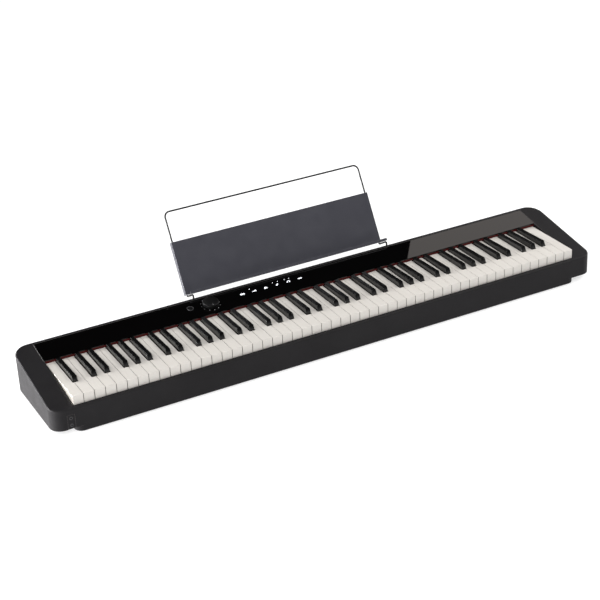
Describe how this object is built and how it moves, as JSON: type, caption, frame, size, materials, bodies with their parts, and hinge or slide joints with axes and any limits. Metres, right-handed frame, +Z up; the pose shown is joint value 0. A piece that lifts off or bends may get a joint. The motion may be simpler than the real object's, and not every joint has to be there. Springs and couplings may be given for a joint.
{
  "type": "digital piano",
  "caption": "Slim black full-size digital piano with weighted hinged keys, a gloss touch panel, a volume knob and a lift-off wire music rest.",
  "frame": {"origin": "middle of the footprint, case and music rest together, at the height of the surface it stands on", "axes": "+X along the keyboard from bass to treble, +Y back from the player, +Z up"},
  "size_m": [1.322, 0.3574, 0.2611],
  "materials": {
    "case": "fine-grained matt black moulding",
    "tray": "matt black moulding",
    "panel": "polished piano black",
    "icon": "back-lit white touch icons",
    "knob": "satin black cap with a bright rim",
    "white_key": "ivory-textured key top, semi-matt",
    "black_key": "ebony-textured key top, semi-matt",
    "key_felt": "dark red felt",
    "rest_sheet": "smooth blue-grey powder coat",
    "rest_wire": "satin black coat on round wire",
    "hammer": "plain steel weight",
    "steel_rod": "ground steel",
    "chassis": "glass-filled moulding",
    "cushion": "pressed felt",
    "board": "green circuit board",
    "dome": "silicone rubber",
    "component": "black moulded component",
    "cone": "pressed paper cone",
    "magnet": "ferrite and steel",
    "foot": "soft rubber",
    "screw": "black zinc",
    "insert": "turned brass",
    "cell": "plain cell can with no label",
    "contact": "nickel-plated spring strip",
    "socket": "black socket moulding"
  },
  "bodies": {
    "case": {"upper_case": "case", "lower_case": "tray", "case_screws": "screw", "stand_inserts": "insert", "feet": "foot", "batteries": "cell", "battery_contacts": "contact", "touch_panel": "panel", "touch_icons": "icon", "touch_board": "board", "volume_pot": "component", "power_switch": "component", "key_felt": "key_felt", "key_chassis": "chassis", "key_pivot_rod": "steel_rod", "hammer_shaft": "steel_rod", "hammer_cushions": "cushion", "contact_board": "board", "contact_rubbers": "dome", "headphone_jacks": "socket", "rear_jacks": "socket", "rear_sockets": "socket", "main_board": "board", "speaker_frames": "component", "speaker_cones": "cone", "speaker_magnets": "magnet", "rest_sockets": "socket"},
    "music_rest": {"music_rest_frame": "rest_wire", "music_rest_plate": "rest_sheet"},
    "volume_knob": {"volume_knob": "knob"},
    "power_button": {"power_button": "knob"},
    "battery_cover": {"battery_cover": "tray"},
    "key_c4": {"key_c4": "white_key"},
    "key_c4_sharp": {"key_c4_sharp": "black_key"},
    "key_d4": {"key_d4": "white_key"},
    "key_d4_sharp": {"key_d4_sharp": "black_key"},
    "key_e4": {"key_e4": "white_key"},
    "key_f4": {"key_f4": "white_key"},
    "key_f4_sharp": {"key_f4_sharp": "black_key"},
    "key_g4": {"key_g4": "white_key"},
    "key_g4_sharp": {"key_g4_sharp": "black_key"},
    "key_a4": {"key_a4": "white_key"},
    "key_a4_sharp": {"key_a4_sharp": "black_key"},
    "key_b4": {"key_b4": "white_key"},
    "other_white_keys": {"other_white_keys": "white_key"},
    "other_black_keys": {"other_black_keys": "black_key"},
    "hammer_c4": {"hammer_c4": "hammer"},
    "hammer_c4_sharp": {"hammer_c4_sharp": "hammer"},
    "hammer_d4": {"hammer_d4": "hammer"},
    "hammer_d4_sharp": {"hammer_d4_sharp": "hammer"},
    "hammer_e4": {"hammer_e4": "hammer"},
    "hammer_f4": {"hammer_f4": "hammer"},
    "hammer_f4_sharp": {"hammer_f4_sharp": "hammer"},
    "hammer_g4": {"hammer_g4": "hammer"},
    "hammer_g4_sharp": {"hammer_g4_sharp": "hammer"},
    "hammer_a4": {"hammer_a4": "hammer"},
    "hammer_a4_sharp": {"hammer_a4_sharp": "hammer"},
    "hammer_b4": {"hammer_b4": "hammer"},
    "other_white_hammers": {"other_white_hammers": "hammer"},
    "other_black_hammers": {"other_black_hammers": "hammer"}
  },
  "joints": [
    {"name": "key_c4_press", "type": "hinge", "parent": "case", "child": "key_c4", "pos_m": [0, 0.0313, 0.062], "axis": [1, 0, 0], "range_deg": [0, 2.85], "stiffness_Nm_per_rad": 0.3, "springref_deg": -11.46},
    {"name": "key_c4_sharp_press", "type": "hinge", "parent": "case", "child": "key_c4_sharp", "pos_m": [0, 0.0313, 0.062], "axis": [1, 0, 0], "range_deg": [0, 2.85], "stiffness_Nm_per_rad": 0.3, "springref_deg": -11.46},
    {"name": "key_d4_press", "type": "hinge", "parent": "case", "child": "key_d4", "pos_m": [0, 0.0313, 0.062], "axis": [1, 0, 0], "range_deg": [0, 2.85], "stiffness_Nm_per_rad": 0.3, "springref_deg": -11.46},
    {"name": "key_d4_sharp_press", "type": "hinge", "parent": "case", "child": "key_d4_sharp", "pos_m": [0, 0.0313, 0.062], "axis": [1, 0, 0], "range_deg": [0, 2.85], "stiffness_Nm_per_rad": 0.3, "springref_deg": -11.46},
    {"name": "key_e4_press", "type": "hinge", "parent": "case", "child": "key_e4", "pos_m": [0, 0.0313, 0.062], "axis": [1, 0, 0], "range_deg": [0, 2.85], "stiffness_Nm_per_rad": 0.3, "springref_deg": -11.46},
    {"name": "key_f4_press", "type": "hinge", "parent": "case", "child": "key_f4", "pos_m": [0, 0.0313, 0.062], "axis": [1, 0, 0], "range_deg": [0, 2.85], "stiffness_Nm_per_rad": 0.3, "springref_deg": -11.46},
    {"name": "key_f4_sharp_press", "type": "hinge", "parent": "case", "child": "key_f4_sharp", "pos_m": [0, 0.0313, 0.062], "axis": [1, 0, 0], "range_deg": [0, 2.85], "stiffness_Nm_per_rad": 0.3, "springref_deg": -11.46},
    {"name": "key_g4_press", "type": "hinge", "parent": "case", "child": "key_g4", "pos_m": [0, 0.0313, 0.062], "axis": [1, 0, 0], "range_deg": [0, 2.85], "stiffness_Nm_per_rad": 0.3, "springref_deg": -11.46},
    {"name": "key_g4_sharp_press", "type": "hinge", "parent": "case", "child": "key_g4_sharp", "pos_m": [0, 0.0313, 0.062], "axis": [1, 0, 0], "range_deg": [0, 2.85], "stiffness_Nm_per_rad": 0.3, "springref_deg": -11.46},
    {"name": "key_a4_press", "type": "hinge", "parent": "case", "child": "key_a4", "pos_m": [0, 0.0313, 0.062], "axis": [1, 0, 0], "range_deg": [0, 2.85], "stiffness_Nm_per_rad": 0.3, "springref_deg": -11.46},
    {"name": "key_a4_sharp_press", "type": "hinge", "parent": "case", "child": "key_a4_sharp", "pos_m": [0, 0.0313, 0.062], "axis": [1, 0, 0], "range_deg": [0, 2.85], "stiffness_Nm_per_rad": 0.3, "springref_deg": -11.46},
    {"name": "key_b4_press", "type": "hinge", "parent": "case", "child": "key_b4", "pos_m": [0, 0.0313, 0.062], "axis": [1, 0, 0], "range_deg": [0, 2.85], "stiffness_Nm_per_rad": 0.3, "springref_deg": -11.46},
    {"name": "other_white_keys_press", "type": "hinge", "parent": "case", "child": "other_white_keys", "pos_m": [0, 0.0313, 0.062], "axis": [1, 0, 0], "range_deg": [0, 2.85], "stiffness_Nm_per_rad": 13.5, "springref_deg": -11.46},
    {"name": "other_black_keys_press", "type": "hinge", "parent": "case", "child": "other_black_keys", "pos_m": [0, 0.0313, 0.062], "axis": [1, 0, 0], "range_deg": [0, 2.85], "stiffness_Nm_per_rad": 9.3, "springref_deg": -11.46},
    {"name": "hammer_c4_swing", "type": "hinge", "parent": "case", "child": "hammer_c4", "pos_m": [0, -0.1037, 0.034], "axis": [1, 0, 0], "range_deg": [0, 16.2]},
    {"name": "hammer_c4_sharp_swing", "type": "hinge", "parent": "case", "child": "hammer_c4_sharp", "pos_m": [0, -0.1037, 0.034], "axis": [1, 0, 0], "range_deg": [0, 16.2]},
    {"name": "hammer_d4_swing", "type": "hinge", "parent": "case", "child": "hammer_d4", "pos_m": [0, -0.1037, 0.034], "axis": [1, 0, 0], "range_deg": [0, 16.2]},
    {"name": "hammer_d4_sharp_swing", "type": "hinge", "parent": "case", "child": "hammer_d4_sharp", "pos_m": [0, -0.1037, 0.034], "axis": [1, 0, 0], "range_deg": [0, 16.2]},
    {"name": "hammer_e4_swing", "type": "hinge", "parent": "case", "child": "hammer_e4", "pos_m": [0, -0.1037, 0.034], "axis": [1, 0, 0], "range_deg": [0, 16.2]},
    {"name": "hammer_f4_swing", "type": "hinge", "parent": "case", "child": "hammer_f4", "pos_m": [0, -0.1037, 0.034], "axis": [1, 0, 0], "range_deg": [0, 16.2]},
    {"name": "hammer_f4_sharp_swing", "type": "hinge", "parent": "case", "child": "hammer_f4_sharp", "pos_m": [0, -0.1037, 0.034], "axis": [1, 0, 0], "range_deg": [0, 16.2]},
    {"name": "hammer_g4_swing", "type": "hinge", "parent": "case", "child": "hammer_g4", "pos_m": [0, -0.1037, 0.034], "axis": [1, 0, 0], "range_deg": [0, 16.2]},
    {"name": "hammer_g4_sharp_swing", "type": "hinge", "parent": "case", "child": "hammer_g4_sharp", "pos_m": [0, -0.1037, 0.034], "axis": [1, 0, 0], "range_deg": [0, 16.2]},
    {"name": "hammer_a4_swing", "type": "hinge", "parent": "case", "child": "hammer_a4", "pos_m": [0, -0.1037, 0.034], "axis": [1, 0, 0], "range_deg": [0, 16.2]},
    {"name": "hammer_a4_sharp_swing", "type": "hinge", "parent": "case", "child": "hammer_a4_sharp", "pos_m": [0, -0.1037, 0.034], "axis": [1, 0, 0], "range_deg": [0, 16.2]},
    {"name": "hammer_b4_swing", "type": "hinge", "parent": "case", "child": "hammer_b4", "pos_m": [0, -0.1037, 0.034], "axis": [1, 0, 0], "range_deg": [0, 16.2]},
    {"name": "other_white_hammers_swing", "type": "hinge", "parent": "case", "child": "other_white_hammers", "pos_m": [0, -0.1037, 0.034], "axis": [1, 0, 0], "range_deg": [0, 16.2]},
    {"name": "other_black_hammers_swing", "type": "hinge", "parent": "case", "child": "other_black_hammers", "pos_m": [0, -0.1037, 0.034], "axis": [1, 0, 0], "range_deg": [0, 16.2]},
    {"name": "volume_turn", "type": "hinge", "parent": "case", "child": "volume_knob", "pos_m": [-0.22, 0.01613, 0.09527], "axis": [0, -0.1781, 0.984], "range_deg": [-150, 150]},
    {"name": "power_press", "type": "slide", "parent": "case", "child": "power_button", "axis": [0, 0.1781, -0.984], "range_m": [0, 0.001], "stiffness_N_per_m": 800, "springref_m": -0.0006},
    {"name": "music_rest_lift", "type": "slide", "parent": "case", "child": "music_rest", "axis": [0, 0, 1], "range_m": [0, 0.03]},
    {"name": "battery_cover_release", "type": "slide", "parent": "case", "child": "battery_cover", "axis": [0, 0, -1], "range_m": [0, 0.02]}
  ],
  "couplings": [
    {"joint": "hammer_c4_swing", "follows": "key_c4_press", "ratio": 5.6},
    {"joint": "hammer_c4_sharp_swing", "follows": "key_c4_sharp_press", "ratio": 5.6},
    {"joint": "hammer_d4_swing", "follows": "key_d4_press", "ratio": 5.6},
    {"joint": "hammer_d4_sharp_swing", "follows": "key_d4_sharp_press", "ratio": 5.6},
    {"joint": "hammer_e4_swing", "follows": "key_e4_press", "ratio": 5.6},
    {"joint": "hammer_f4_swing", "follows": "key_f4_press", "ratio": 5.6},
    {"joint": "hammer_f4_sharp_swing", "follows": "key_f4_sharp_press", "ratio": 5.6},
    {"joint": "hammer_g4_swing", "follows": "key_g4_press", "ratio": 5.6},
    {"joint": "hammer_g4_sharp_swing", "follows": "key_g4_sharp_press", "ratio": 5.6},
    {"joint": "hammer_a4_swing", "follows": "key_a4_press", "ratio": 5.6},
    {"joint": "hammer_a4_sharp_swing", "follows": "key_a4_sharp_press", "ratio": 5.6},
    {"joint": "hammer_b4_swing", "follows": "key_b4_press", "ratio": 5.6},
    {"joint": "other_white_hammers_swing", "follows": "other_white_keys_press", "ratio": 5.6},
    {"joint": "other_black_hammers_swing", "follows": "other_black_keys_press", "ratio": 5.6}
  ]
}
